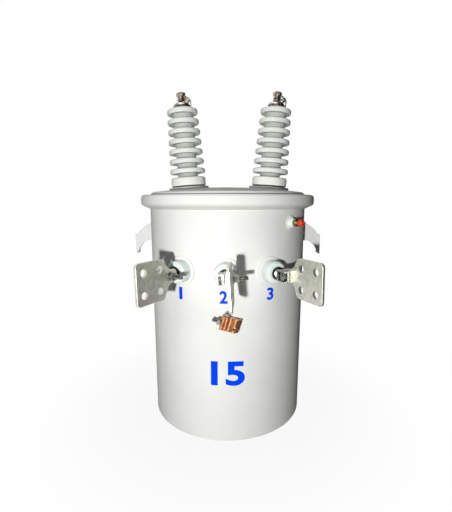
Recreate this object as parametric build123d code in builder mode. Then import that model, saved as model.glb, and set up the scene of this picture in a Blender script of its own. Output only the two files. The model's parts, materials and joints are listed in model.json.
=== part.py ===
from build123d import *
import os
from math import cos, radians, sin, sqrt, tan

# Single phase pole transformer: a round oil tank with a clamped cover, two high voltage bushings
# on the cover and three low voltage bushings on the front. Millimetres, +Z up. The front faces -Y,
# the pole side faces +Y and the origin is on the tank's axis, in the plane of its bottom rim.

os.makedirs("parts", exist_ok=True)

# Shared clearances
overrun = 2.0  # how far a cut runs past the face that it opens
slip = 0.3  # gap of a bolt in its hole and of a band over its rim

# Tank, with the wedge shaped rim that the cover is clamped to. Heights on the tank are measured
# down from the rim.
tank_r = 203.0
tank_wall = 2.7
tank_h = 569.0
rim_out = 13.5  # reach of the rim beyond the wall
rim_edge = 9.9  # straight edge of the rim
rim_slope = 24.5  # degrees, underside of the rim
bottom_t = 4.0
bottom_recess = 14.0  # the bottom plate stands this far above the floor

# Cover, its gasket and the clamping band
gasket_t = 7.5
gasket_w = 13.0
cover_t = 3.0
cover_rise = 23.7  # crown above the cover's flange
cover_step = 1.0  # how far the raised part stands inside the tank's outer radius
cover_shoulder = 10.0
band_t = 3.5
band_room = 5.0  # between the rim's edge and the band's inner wall
band_round = 8.0
band_split = 14.0  # gap between the closing ears
band_deg = 140.0  # place of the ears, round from the front
ear_t = 5.0
ear_out = 29.0
ear_h = 15.0
band_bolt_r = 4.8
band_bolt_flats = 16.0

# High voltage bushings, seated on raised bosses of the cover
hv_edge = 96.3  # from the cover's outer edge to a bushing's axis
hv_shift = 3.7  # both bushings stand this far right of the tank's middle
hv_lean = 4.2  # degrees outward
hv_boss_r = 52.0
hv_boss_h = 5.0
hv_gasket_t = 4.0
hv_gasket_r = 43.0
hv_stem_r = 23.0  # porcelain below the seat
hv_stem = 70.0
hv_base_r = 45.0
hv_base_h = 21.0
hv_neck_r = 26.0
hv_length = 194.5  # porcelain above the seat gasket
hv_sheds = 7
hv_first_run = 36.5  # from the foot to the middle of the first shed
hv_last_run = 11.5  # from the middle of the last shed to the top
hv_low_shed_r = 46.0
hv_top_shed_r = 39.0
shed_face = 11.3  # height of a shed's rim
shed_over = 9.5  # rise of a shed's upper slope at the neck, above its middle
shed_under = 4.5  # fall of its underside at the neck, below its middle
shed_top_round = 4.7
shed_low_round = 3.0
shed_root = 3.0
hv_base_round = 5.0
hv_crown_r = 24.0
hv_bore_r = 6.8

# High voltage terminals: gasket, dished cap and clamp connector
hv_stud_r = 6.3
hv_stud_in = 40.0
top_gasket_r = 18.5
top_gasket_t = 6.5
cap_r = 22.0
cap_t = 3.0
cap_skirt = 4.5
post_neck_r = 7.0
post_neck_h = 5.0
post_collar_r = 9.8
post_collar_h = 3.5
post_r = 9.4
post_h = 19.0  # top of the barrel above the cap
post_head_flats = 20.0
post_head_h = 9.0
post_head_round = 3.0
lobe_reach = 22.5  # the clamp's side lobe, from the post's axis
lobe_h = 18.0
lobe_shares = ((0, 0.06), (0.69, 0.06), (0.84, 0.28), (1, 0.44), (0.93, 0.58), (0.4, 1), (0, 1))
lobe_depth = 11.0
lobe_out = 12.0  # conductor hole from the post's axis
lobe_rise = 7.0
lobe_bore_r = 2.8
keeper_r = 2.6  # rounded bar over the lobe's upper edge
keeper_depth = 16.0
keeper_shares = ((0.47, 0.9), (0.91, 0.52))  # its two ends, over the lobe's reach and height
tail_t = 2.3
tail_depth = 9.0
tail_drop = 6.0

# Low voltage bushings on the front of the tank
lv_places = {"left": -29.0, "centre": 0.0, "right": 29.0}  # degrees round from the front
lv_turns = {"left": 1.1, "centre": 3.9, "right": 1.6}  # degrees that each spade is turned on its stud
lv_swings = {"left": -1.4, "centre": -2.6, "right": -1.4}  # degrees that each plate bends to the right
lv_down = 156.5
lv_hole_r = 19.0
lv_boss_r = 32.2
lv_boss_out = 3.5
lv_foot_r = 26.3
lv_out = 27.0
lv_face_r = 19.0
lv_shoulder = 7.0
lv_taper = 1.0
lv_neck_in = 20.0
lv_stud_r = 10.0
lv_washer_r = 14.5
lv_washer_t = 3.0
stud_bare = 14.0  # bare thread between the rubber washer and the clamp

# Low voltage spade terminals, with a split clamp on the stud
hub_len = 27.0
hub_h = 24.0
hub_left = 14.6
hub_round = 3.0
hub_split = 2.5
pocket_deep = 8.0  # recess of the jaw that holds the bolt's head
pocket_h = 17.5
pocket_len = 19.4
stud_grip = 7.5  # length of the stud inside the clamp
spade_t = 6.2
spade_side = 11.5  # near face of the plate from the stud's axis
spade_edge = 1.2  # rounding of the plate's outline
pad_w = 83.8
pad_h = 85.0
pad_mid = 119.1  # middle of the four holes from the tank's wall
pad_drop = 2.8  # and below the stud's axis
pad_hole_r = 7.9
pad_pitch = 44.45
pad_round = 9.0
neck_end = 21.5  # straight length of the spade's neck
neck_round = 26.0
shoulder_in = 7.5  # how far the shoulder's corner stands inside the pad's inner edge
clamp_bolt_r = 4.76
clamp_bolt_in = 17.0
clamp_bolt_flats = 15.9
clamp_bolt_head = 6.5
clamp_bolt_tail = 29.0
nut_gap = 0.6  # room for the plate's bend under the nut

# Pressure relief valve on the right of the front
relief_deg = 47.1
relief_down = 50.0
relief_boss_r = 14.5
relief_boss_tip_r = 9.4
relief_boss_out = 11.0
relief_flats = 17.0
relief_hex_h = 6.5
relief_neck_r = 6.0
relief_neck_h = 5.0
relief_cap_r = 8.8
relief_cap_h = 12.5
relief_cap_round = 5.5
relief_pin_r = 2.2
relief_pin_out = 4.5

# Ground connector below the middle bushing
ground_deg = 2.75
ground_down = 113.5  # below the bushing's axis
ground_pad_w = 26.0
ground_pad_h = 22.0
ground_pad_out = 9.0
ground_turn = -16.0  # degrees, the connector hangs turned on its stud
clamp_w = 44.5
clamp_h = 31.0
clamp_back = 9.0
clamp_rib_r = 4.5
clamp_rib_shares = (-0.78, -0.48, -0.06)  # places of the ribs, over half of the width
clamp_lobe_r = 5.6  # the last rib is larger, with a sloping face beside it
clamp_lobe_share = 0.45
clamp_toe = 3.5
clamp_bore_r = 4.6
clamp_bore_x = 11.3
clamp_bore_low = 6.5
ground_bolt_r = 4.0
ground_bolt_flats = 14.5
ground_bolt_head = 7.5
ground_bolt_tail = 12.0
ground_bolt_in = 14.0

# Lifting lugs on the two sides
lug_down = 105.5  # underside of the horn at the wall
lug_h = 48.5
lug_out = 43.8
lug_tip = 12.5  # top of the horn's tip above the underside at the wall
lug_drop = 30.5
lug_tip_t = 3.0
lug_t = 11.0
lug_top_shares = (0.58, 0.64)  # crown of the upper curve, over its reach and its fall
lug_under_shares = (0.60, 0.24)
lug_end_t = 4.0
lug_end_w = 29.0  # from the horn's front face to the back
lug_end_over = 2.5
lug_end_under = 5.0

# Hanger brackets on the pole side
hanger_low = 9.5  # middle of the two slots below the middle of the tank
hanger_pitch = 285.75
hanger_out = 57.0
hanger_w = 96.0
hanger_h = 104.0
hanger_t = 6.0
hanger_round = 10.0
slot_r = 8.75
slot_length = 40.0

# Sizes that follow from the ones above
tank_in_r = tank_r - tank_wall
lv_z = tank_h - lv_down
relief_z = tank_h - relief_down
ground_z = lv_z - ground_down
lug_z = tank_h - lug_down
hanger_mid_z = tank_h / 2 - hanger_low
rim_r = tank_r + rim_out
rim_corner_z = tank_h - rim_edge
rim_root_z = rim_corner_z - rim_out * tan(radians(rim_slope))
flange_z = tank_h + gasket_t
flange_top = flange_z + cover_t
crown_z = flange_top + cover_rise
cover_r = tank_r - cover_step
hv_x = cover_r - hv_edge
dome_r = hv_x / sin(radians(hv_lean))  # the bushings stand square to the dome
hv_seat_z = crown_z - dome_r * (1 - cos(radians(hv_lean))) + hv_boss_h * cos(radians(hv_lean))
hv_foot_x = hv_x + hv_boss_h * sin(radians(hv_lean))
cap_rise = hv_gasket_t + hv_length + top_gasket_t
post_rise = cap_rise + cap_t
lv_seat = tank_r + lv_boss_out
lv_tip = lv_seat + lv_out
hub_in = lv_tip + lv_washer_t + stud_bare
hub_mid = hub_in + hub_len / 2
hangers = {"upper": hanger_mid_z + hanger_pitch / 2, "lower": hanger_mid_z - hanger_pitch / 2}
sides = {"left": -1, "right": 1}


# Plane square to a radius of the tank: x runs round to the right, y up and z outward
def outward(deg, reach, height):
    turn = radians(deg)
    return Plane(
        origin=(reach * sin(turn), -reach * cos(turn), height),
        x_dir=(cos(turn), sin(turn), 0),
        z_dir=(sin(turn), -cos(turn), 0),
    )


# Upright plane along a radius: x runs outward and y up, shifted to the right of the radius
def upright(deg, shift, height):
    turn = radians(deg)
    return Plane(
        origin=(shift * cos(turn), shift * sin(turn), height),
        x_dir=(sin(turn), -cos(turn), 0),
        z_dir=(-cos(turn), -sin(turn), 0),
    )


# Plane across a radius: x runs outward, y down and z to the right
def across(deg, reach, shift, height):
    turn = radians(deg)
    return Plane(
        origin=(
            reach * sin(turn) + shift * cos(turn),
            shift * sin(turn) - reach * cos(turn),
            height,
        ),
        x_dir=(sin(turn), -cos(turn), 0),
        z_dir=(cos(turn), sin(turn), 0),
    )


# Plane square to a low voltage stud, turned on it as its spade is: x to the right, y up, z outward
def stud_level(name, reach):
    level = outward(lv_places[name], reach, lv_z)
    turn = radians(lv_turns[name])
    return Plane(
        origin=level.origin,
        x_dir=level.x_dir * cos(turn) + level.y_dir * sin(turn),
        z_dir=level.z_dir,
    )


# Plane in the middle of a spade's plate: x runs outward from the middle of the clamp and y up
def plate_plane(name):
    level = stud_level(name, hub_mid)
    swing = radians(lv_swings[name])
    return Plane(
        origin=level.origin + level.x_dir * (spade_side + spade_t / 2),
        x_dir=level.z_dir * cos(swing) + level.x_dir * sin(swing),
        z_dir=level.z_dir * sin(swing) - level.x_dir * cos(swing),
    )


def radius_axis(deg, height):
    turn = radians(deg)
    return Axis((0, 0, height), (sin(turn), -cos(turn), 0))


# Plane square to a high voltage bushing's axis, a given rise above the cover's boss
def hv_level(side, rise):
    lean = radians(hv_lean)
    return Plane(
        origin=(hv_shift + side * (hv_foot_x + rise * sin(lean)), 0, hv_seat_z + rise * cos(lean)),
        x_dir=(cos(lean), 0, -side * sin(lean)),
        z_dir=(side * sin(lean), 0, cos(lean)),
    )


# Plane through a high voltage bushing's axis: x across it and y up along it
def hv_section(side, rise):
    level = hv_level(side, rise)
    return Plane(origin=level.origin, x_dir=level.x_dir, z_dir=(0, -1, 0))


def hv_axis(side):
    level = hv_level(side, 0)
    return Axis(level.origin, level.z_dir)


def dome_z(reach, radius, top):
    return top - radius + sqrt(radius * radius - reach * reach)


# Hex bolt with its nut: the plane lies under the head and its z runs towards the thread's end
def hex_bolt(plane, shank_r, flats, head_h, grip, tail):
    with BuildPart() as bolt:
        with BuildSketch(plane):
            RegularPolygon(flats / 2, 6, major_radius=False)
        extrude(amount=-head_h)
        with BuildSketch(plane):
            Circle(shank_r)
        extrude(amount=grip + tail)
        with BuildSketch(plane.offset(grip)):
            RegularPolygon(flats / 2, 6, major_radius=False)
        extrude(amount=head_h)
    return bolt.part


def keep(part, name):
    part.label = name
    export_step(part, f"parts/{name}.step")


# Tank shell: a rolled tube, open at both ends
with BuildPart() as tank_shell:
    with BuildSketch(Plane.XY):
        Circle(tank_r)
        Circle(tank_in_r, mode=Mode.SUBTRACT)
    extrude(amount=tank_h)
    for deg in lv_places.values():
        with BuildSketch(outward(deg, 0, lv_z)):
            Circle(lv_hole_r)
        extrude(amount=tank_r + overrun, mode=Mode.SUBTRACT)
keep(tank_shell.part, "tank_shell")

# Clamping rim, welded round the top of the shell
with BuildPart() as tank_rim:
    with BuildSketch(Plane.XZ):
        with BuildLine():
            Polyline(
                (tank_r, rim_root_z),
                (rim_r, rim_corner_z),
                (rim_r, tank_h),
                (tank_r, tank_h),
                close=True,
            )
        make_face()
    revolve(axis=Axis.Z)
keep(tank_rim.part, "tank_rim")

with BuildPart() as tank_bottom:
    with BuildSketch(Plane.XY.offset(bottom_recess)):
        Circle(tank_in_r)
    extrude(amount=bottom_t)
keep(tank_bottom.part, "tank_bottom")

with BuildPart() as cover_gasket:
    with BuildSketch(Plane.XY.offset(tank_h)):
        Circle(rim_r)
        Circle(rim_r - gasket_w, mode=Mode.SUBTRACT)
    extrude(amount=gasket_t)
keep(cover_gasket.part, "cover_gasket")

# Cover: a domed sheet with a raised shoulder, a flat flange and two tilted bushing seats
inner_r = cover_r - cover_t
inner_dome = dome_r - cover_t
inner_top = crown_z - cover_t
with BuildPart() as cover:
    with BuildSketch(Plane.XZ) as cover_section:
        with BuildLine():
            ThreePointArc(
                (0, crown_z),
                (cover_r / 2, dome_z(cover_r / 2, dome_r, crown_z)),
                (cover_r, dome_z(cover_r, dome_r, crown_z)),
            )
            Polyline(
                (cover_r, dome_z(cover_r, dome_r, crown_z)),
                (cover_r, flange_top),
                (rim_r, flange_top),
                (rim_r, flange_z),
                (inner_r, flange_z),
                (inner_r, dome_z(inner_r, inner_dome, inner_top)),
            )
            ThreePointArc(
                (inner_r, dome_z(inner_r, inner_dome, inner_top)),
                (inner_r / 2, dome_z(inner_r / 2, inner_dome, inner_top)),
                (0, inner_top),
            )
            Line((0, inner_top), (0, crown_z))
        make_face()
        corners = cover_section.vertices()
        outer_corner = corners.sort_by_distance((cover_r, dome_z(cover_r, dome_r, crown_z)))[0]
        fillet(outer_corner, cover_shoulder)
        corners = cover_section.vertices()
        inner_corner = corners.sort_by_distance((inner_r, dome_z(inner_r, inner_dome, inner_top)))[0]
        fillet(inner_corner, cover_shoulder - cover_t)
    revolve(axis=Axis.Z)
    for side in sides.values():
        with BuildSketch(hv_level(side, -hv_boss_h - cover_t / 2)):
            Circle(hv_boss_r)
        extrude(amount=hv_boss_h + cover_t / 2)
        with BuildSketch(hv_level(side, overrun)):
            Circle(hv_stem_r + slip)
        extrude(amount=-hv_boss_h - cover_t - overrun - overrun, mode=Mode.SUBTRACT)
keep(cover.part, "cover")

# Clamping band: a channel round the rim and the flange, closed by a bolt through two ears
band_in = rim_r + band_room + slip
band_out = band_in + band_t
band_foot = tank_r + slip


def band_under(reach, thickness):
    slope = radians(rim_slope)
    return rim_corner_z + (reach - rim_r) * tan(slope) - thickness / cos(slope)


band_low = band_under(band_out, slip + band_t)
band_top = flange_top + band_t
ear_mid = (band_low + band_top) / 2
with BuildPart() as cover_band:
    with BuildSketch(Plane.XZ) as band_section:
        with BuildLine():
            Polyline(
                (band_foot, band_under(band_foot, slip + band_t)),
                (band_out, band_low),
                (band_out, band_top),
                (cover_r + slip, band_top),
                (cover_r + slip, flange_top),
                (band_in, flange_top),
                (band_in, band_under(band_in, slip)),
                (band_foot, band_under(band_foot, slip)),
                close=True,
            )
        make_face()
        for height in (band_top, band_low):
            rounded = band_section.vertices().sort_by_distance((band_out, height))[0]
            fillet(rounded, band_round)
        for height in (flange_top, band_under(band_in, slip)):
            rounded = band_section.vertices().sort_by_distance((band_in, height))[0]
            fillet(rounded, band_round - band_t)
    revolve(axis=Axis.Z)
    with BuildSketch(outward(band_deg, cover_r, ear_mid)):
        Rectangle(band_split, tank_h)
    extrude(amount=band_out + overrun - cover_r, mode=Mode.SUBTRACT)
    for hand in sides.values():
        with BuildSketch(outward(band_deg, band_in, ear_mid)):
            with Locations((hand * (band_split + ear_t) / 2, 0)):
                Rectangle(ear_t, ear_h)
        extrude(amount=band_t + ear_out)
    with BuildSketch(across(band_deg, band_out + ear_out / 2, -band_split, ear_mid)):
        Circle(band_bolt_r + slip)
    extrude(amount=band_split + band_split, mode=Mode.SUBTRACT)
keep(cover_band.part, "cover_band")

band_bolt = hex_bolt(
    across(band_deg, band_out + ear_out / 2, -band_split / 2 - ear_t, ear_mid),
    band_bolt_r,
    band_bolt_flats,
    band_bolt_flats / 2,
    band_split + ear_t + ear_t,
    band_bolt_flats,
)
keep(band_bolt, "band_bolt")

# Lifting lugs: a curved horn with an end plate that keeps the sling on
for name, side in sides.items():
    lug_plane = Plane(origin=(side * tank_r, 0, lug_z), x_dir=(side, 0, 0), z_dir=(0, -side, 0))
    with BuildPart() as lifting_lug:
        with BuildSketch(lug_plane):
            with BuildLine():
                Polyline((0, lug_h), (-lug_t, lug_h), (-lug_t, 0), (0, 0))
                ThreePointArc(
                    (0, 0),
                    (lug_out * lug_under_shares[0], -lug_drop * lug_under_shares[1]),
                    (lug_out - lug_tip_t, -lug_drop),
                )
                Polyline((lug_out - lug_tip_t, -lug_drop), (lug_out, -lug_drop), (lug_out, lug_tip))
                ThreePointArc(
                    (lug_out, lug_tip),
                    (lug_out * lug_top_shares[0], lug_tip + (lug_h - lug_tip) * lug_top_shares[1]),
                    (0, lug_h),
                )
            make_face()
        extrude(amount=lug_t / 2, both=True)
        end_low = -lug_drop - lug_end_under
        end_high = lug_tip + lug_end_over
        with BuildSketch(lug_plane.offset(side * lug_t / 2)):
            with Locations((lug_out + lug_end_t / 2, (end_low + end_high) / 2)):
                Rectangle(lug_end_t, end_high - end_low)
        extrude(amount=-side * lug_end_w)
        Cylinder(tank_r, tank_h, align=(Align.CENTER, Align.CENTER, Align.MIN), mode=Mode.SUBTRACT)
    keep(lifting_lug.part, f"lifting_lug_{name}")

# High voltage bushings: a porcelain with seven rounded sheds over a thick foot
shed_step = (hv_length - hv_last_run - hv_first_run) / (hv_sheds - 1)
shed_fall = (hv_low_shed_r - hv_top_shed_r) / (hv_sheds - 1)
for name, side in sides.items():
    with BuildPart() as hv_seat_gasket:
        with BuildSketch(hv_level(side, 0)):
            Circle(hv_gasket_r)
            Circle(hv_stem_r + slip, mode=Mode.SUBTRACT)
        extrude(amount=hv_gasket_t)
    keep(hv_seat_gasket.part, f"hv_seat_gasket_{name}")

    with BuildPart() as hv_bushing:
        with BuildSketch(hv_section(side, hv_gasket_t)):
            with BuildLine():
                outline = [(hv_base_r, 0), (hv_base_r, hv_base_h)]
                rounds = [hv_base_round]
                for number in range(hv_sheds):
                    middle = hv_first_run + number * shed_step
                    rim = hv_low_shed_r - number * shed_fall
                    outline.append((hv_neck_r, middle - shed_step + shed_over))
                    outline.append((hv_neck_r, middle - shed_under))
                    outline.append((rim, middle - shed_face / 2))
                    outline.append((rim, middle + shed_face / 2))
                    rounds += [shed_root, shed_root, shed_low_round, shed_top_round]
                outline.append((hv_crown_r, hv_length))
                FilletPolyline(*outline, radius=rounds)
                Polyline(
                    (hv_crown_r, hv_length),
                    (hv_bore_r, hv_length),
                    (hv_bore_r, -hv_stem),
                    (hv_stem_r, -hv_stem),
                    (hv_stem_r, 0),
                    (hv_base_r, 0),
                )
            make_face()
        revolve(axis=hv_axis(side))
    keep(hv_bushing.part, f"hv_bushing_{name}")

    with BuildPart() as hv_top_gasket:
        with BuildSketch(hv_level(side, hv_gasket_t + hv_length)):
            Circle(top_gasket_r)
            Circle(hv_bore_r, mode=Mode.SUBTRACT)
        extrude(amount=top_gasket_t)
    keep(hv_top_gasket.part, f"hv_top_gasket_{name}")

    # Dished cap: its skirt hangs round the top gasket
    with BuildPart() as hv_cap:
        with BuildSketch(hv_section(side, cap_rise)):
            with BuildLine():
                Polyline(
                    (hv_bore_r, 0),
                    (top_gasket_r + slip, 0),
                    (cap_r - cap_t, -cap_skirt),
                    (cap_r, -cap_skirt),
                    (cap_r, -cap_skirt + cap_t),
                    (top_gasket_r, cap_t),
                    (hv_bore_r, cap_t),
                    close=True,
                )
            make_face()
        revolve(axis=hv_axis(side))
    keep(hv_cap.part, f"hv_cap_{name}")

    # Clamp connector: stud, collar, barrel and head, with a side lobe bored for the conductor, a keeper
    # bar over it and a tail beside the cap
    with BuildPart() as hv_terminal:
        with BuildSketch(hv_section(side, post_rise)):
            with BuildLine():
                Polyline(
                    (0, -hv_stud_in),
                    (hv_stud_r, -hv_stud_in),
                    (hv_stud_r, 0),
                    (post_neck_r, 0),
                    (post_neck_r, post_neck_h),
                    (post_collar_r, post_neck_h),
                    (post_collar_r, post_neck_h + post_collar_h),
                    (post_r, post_neck_h + post_collar_h),
                    (post_r, post_h),
                    (0, post_h),
                    close=True,
                )
            make_face()
        revolve(axis=hv_axis(side))
        with BuildSketch(hv_level(side, post_rise + post_h)):
            RegularPolygon(post_head_flats / 2, 6, major_radius=False)
        extrude(amount=post_head_h)
        head_top = hv_terminal.faces().sort_by(hv_axis(side))[-1]
        fillet(head_top.edges(), post_head_round)
        with BuildSketch(hv_section(side, post_rise)):
            with BuildLine():
                Polyline(*[(lobe_reach * x, lobe_h * y) for x, y in lobe_shares], close=True)
            make_face()
        extrude(amount=lobe_depth / 2, both=True)
        with BuildSketch(hv_section(side, post_rise)):
            for x, y in keeper_shares:
                with Locations((lobe_reach * x, lobe_h * y)):
                    Circle(keeper_r)
            make_hull()
        extrude(amount=keeper_depth / 2, both=True)
        with BuildSketch(hv_section(side, post_rise)):
            tail_h = tail_drop + lobe_h / 2
            with Locations((cap_r + slip + tail_t / 2, tail_h / 2 - tail_drop)):
                Rectangle(tail_t, tail_h)
        extrude(amount=tail_depth / 2, both=True)
        with BuildSketch(hv_section(side, post_rise)):
            with Locations((lobe_out, lobe_rise)):
                Circle(lobe_bore_r)
        extrude(amount=lobe_depth, both=True, mode=Mode.SUBTRACT)
    keep(hv_terminal.part, f"hv_terminal_{name}")

# Low voltage bushings and spade terminals
for name, deg in lv_places.items():
    with BuildPart() as lv_boss:
        with BuildSketch(outward(deg, 0, lv_z)):
            Circle(lv_boss_r)
            Circle(lv_hole_r, mode=Mode.SUBTRACT)
        extrude(amount=lv_seat)
        Cylinder(tank_r, tank_h, align=(Align.CENTER, Align.CENTER, Align.MIN), mode=Mode.SUBTRACT)
    keep(lv_boss.part, f"lv_boss_{name}")

    with BuildPart() as lv_bushing:
        with BuildSketch(upright(deg, 0, lv_z)) as lv_section:
            with BuildLine():
                Polyline(
                    (lv_seat - lv_neck_in, lv_stud_r + slip),
                    (lv_seat - lv_neck_in, lv_hole_r - slip),
                    (lv_seat, lv_hole_r - slip),
                    (lv_seat, lv_foot_r),
                    (lv_tip - lv_shoulder, lv_foot_r - lv_taper),
                )
                RadiusArc(
                    (lv_tip - lv_shoulder, lv_foot_r - lv_taper),
                    (lv_tip, lv_face_r),
                    lv_shoulder,
                )
                Polyline(
                    (lv_tip, lv_face_r),
                    (lv_tip, lv_stud_r + slip),
                    (lv_seat - lv_neck_in, lv_stud_r + slip),
                )
            make_face()
        revolve(axis=radius_axis(deg, lv_z))
    keep(lv_bushing.part, f"lv_bushing_{name}")

    with BuildPart() as lv_washer:
        with BuildSketch(outward(deg, lv_tip, lv_z)):
            Circle(lv_washer_r)
            Circle(lv_stud_r, mode=Mode.SUBTRACT)
        extrude(amount=lv_washer_t)
    keep(lv_washer.part, f"lv_washer_{name}")

    with BuildPart() as lv_stud:
        with BuildSketch(outward(deg, lv_seat - lv_neck_in - lv_stud_r, lv_z)):
            Circle(lv_stud_r)
        extrude(amount=hub_in + stud_grip - lv_seat + lv_neck_in + lv_stud_r)
    keep(lv_stud.part, f"lv_stud_{name}")

    clamp_level = stud_level(name, hub_in)
    bolt_level = stud_level(name, hub_in + clamp_bolt_in)
    bolt_plane = Plane(
        origin=bolt_level.origin - bolt_level.x_dir * (hub_left - pocket_deep),
        x_dir=bolt_level.z_dir,
        z_dir=bolt_level.x_dir,
    )
    # Spade: a plate with a four hole pad, a curved neck and half of the clamp on its near face
    plate = plate_plane(name)
    pad_run = tank_r + pad_mid - hub_mid
    pad_in = pad_run - pad_w / 2
    pad_out = pad_run + pad_w / 2
    neck_run = neck_end - hub_len / 2
    plate_start = slip - hub_len / 2
    pad_top = pad_h / 2 - pad_drop
    pad_foot = -pad_h / 2 - pad_drop
    with BuildPart() as lv_spade:
        with BuildSketch(plate) as spade_plate:
            with BuildLine():
                Polyline(
                    (plate_start, hub_h / 2),
                    (neck_run, hub_h / 2),
                    (pad_in + shoulder_in, pad_top),
                    (pad_out, pad_top),
                    (pad_out, pad_foot),
                    (pad_in + shoulder_in, pad_foot),
                    (neck_run, -hub_h / 2),
                    (plate_start, -hub_h / 2),
                    close=True,
                )
            make_face()
            columns = spade_plate.vertices().group_by(Axis.X)
            fillet(columns[1], neck_round)
            rows = spade_plate.vertices().group_by(Axis.Y)
            fillet(rows[0] + rows[-1], pad_round)
            with Locations((pad_run, -pad_drop)):
                with GridLocations(pad_pitch, pad_pitch, 2, 2):
                    Circle(pad_hole_r, mode=Mode.SUBTRACT)
        extrude(amount=spade_t / 2, both=True)
        faces = lv_spade.faces().sort_by(Axis(plate.origin, plate.z_dir))
        fillet(faces[0].outer_wire().edges() + faces[-1].outer_wire().edges(), spade_edge)
        with BuildSketch(clamp_level):
            with Locations(((hub_split / 2 + spade_side + spade_t / 2) / 2, 0)):
                Rectangle(spade_side + spade_t / 2 - hub_split / 2, hub_h)
        extrude(amount=hub_len)
        with BuildSketch(clamp_level):
            Circle(lv_stud_r)
        extrude(amount=stud_grip, mode=Mode.SUBTRACT)
        with BuildSketch(bolt_plane):
            Circle(clamp_bolt_r + slip)
        extrude(amount=hub_left + spade_side + spade_t + overrun, mode=Mode.SUBTRACT)
    keep(lv_spade.part, f"lv_spade_{name}")

    # Jaw: the other half of the clamp, with rounded corners and a recess for the bolt's head
    with BuildPart() as lv_jaw:
        with BuildSketch(clamp_level) as jaw_section:
            with Locations((-(hub_left + hub_split / 2) / 2, 0)):
                Rectangle(hub_left - hub_split / 2, hub_h)
            fillet(jaw_section.vertices().group_by(Axis.X)[0], hub_round)
        extrude(amount=hub_len)
        with BuildSketch(clamp_level):
            Circle(lv_stud_r)
        extrude(amount=stud_grip, mode=Mode.SUBTRACT)
        with BuildSketch(clamp_level.offset(hub_len)):
            with Locations((-hub_left, 0)):
                Rectangle(2 * pocket_deep, pocket_h)
        extrude(amount=-pocket_len, mode=Mode.SUBTRACT)
        with BuildSketch(bolt_plane):
            Circle(clamp_bolt_r + slip)
        extrude(amount=hub_left, mode=Mode.SUBTRACT)
    keep(lv_jaw.part, f"lv_jaw_{name}")

    lv_clamp_bolt = hex_bolt(
        bolt_plane,
        clamp_bolt_r,
        clamp_bolt_flats,
        clamp_bolt_head,
        hub_left - pocket_deep + spade_side + spade_t + nut_gap,
        clamp_bolt_tail,
    )
    keep(lv_clamp_bolt, f"lv_clamp_bolt_{name}")

# Pressure relief valve: a welded cone, a brass body with its pin and a cap
relief_base = tank_r + relief_boss_out
with BuildPart() as relief_boss:
    with BuildSketch(upright(relief_deg, 0, relief_z)):
        with BuildLine():
            Polyline(
                (tank_r - relief_boss_r, 0),
                (tank_r - relief_boss_r, relief_boss_r),
                (tank_r, relief_boss_r),
                (relief_base, relief_boss_tip_r),
                (relief_base, 0),
                close=True,
            )
        make_face()
    revolve(axis=radius_axis(relief_deg, relief_z))
    Cylinder(tank_r, tank_h, align=(Align.CENTER, Align.CENTER, Align.MIN), mode=Mode.SUBTRACT)
keep(relief_boss.part, "relief_boss")

cap_base = relief_base + relief_hex_h + relief_neck_h
with BuildPart() as relief_body:
    with BuildSketch(outward(relief_deg, relief_base, relief_z)):
        RegularPolygon(relief_flats / 2, 6, major_radius=False)
    extrude(amount=relief_hex_h)
    with BuildSketch(outward(relief_deg, relief_base, relief_z)):
        Circle(relief_neck_r)
    extrude(amount=relief_hex_h + relief_neck_h)
    with BuildSketch(outward(relief_deg, relief_base, relief_z)):
        Circle(relief_pin_r)
    extrude(amount=relief_hex_h + relief_neck_h + relief_cap_h + relief_pin_out)
keep(relief_body.part, "relief_body")

with BuildPart() as relief_cap:
    with BuildSketch(outward(relief_deg, cap_base, relief_z)):
        Circle(relief_cap_r)
    extrude(amount=relief_cap_h)
    fillet(relief_cap.edges().filter_by(GeomType.CIRCLE), relief_cap_round)
    with BuildSketch(outward(relief_deg, cap_base, relief_z)):
        Circle(relief_pin_r)
    extrude(amount=relief_cap_h, mode=Mode.SUBTRACT)
keep(relief_cap.part, "relief_cap")

# Ground connector: a welded pad and a ribbed clamp that hangs turned on it
with BuildPart() as ground_pad:
    with BuildSketch(outward(ground_deg, 0, ground_z)):
        Rectangle(ground_pad_w, ground_pad_h)
    extrude(amount=tank_r + ground_pad_out)
    Cylinder(tank_r, tank_h, align=(Align.CENTER, Align.CENTER, Align.MIN), mode=Mode.SUBTRACT)
keep(ground_pad.part, "ground_pad")

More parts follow.
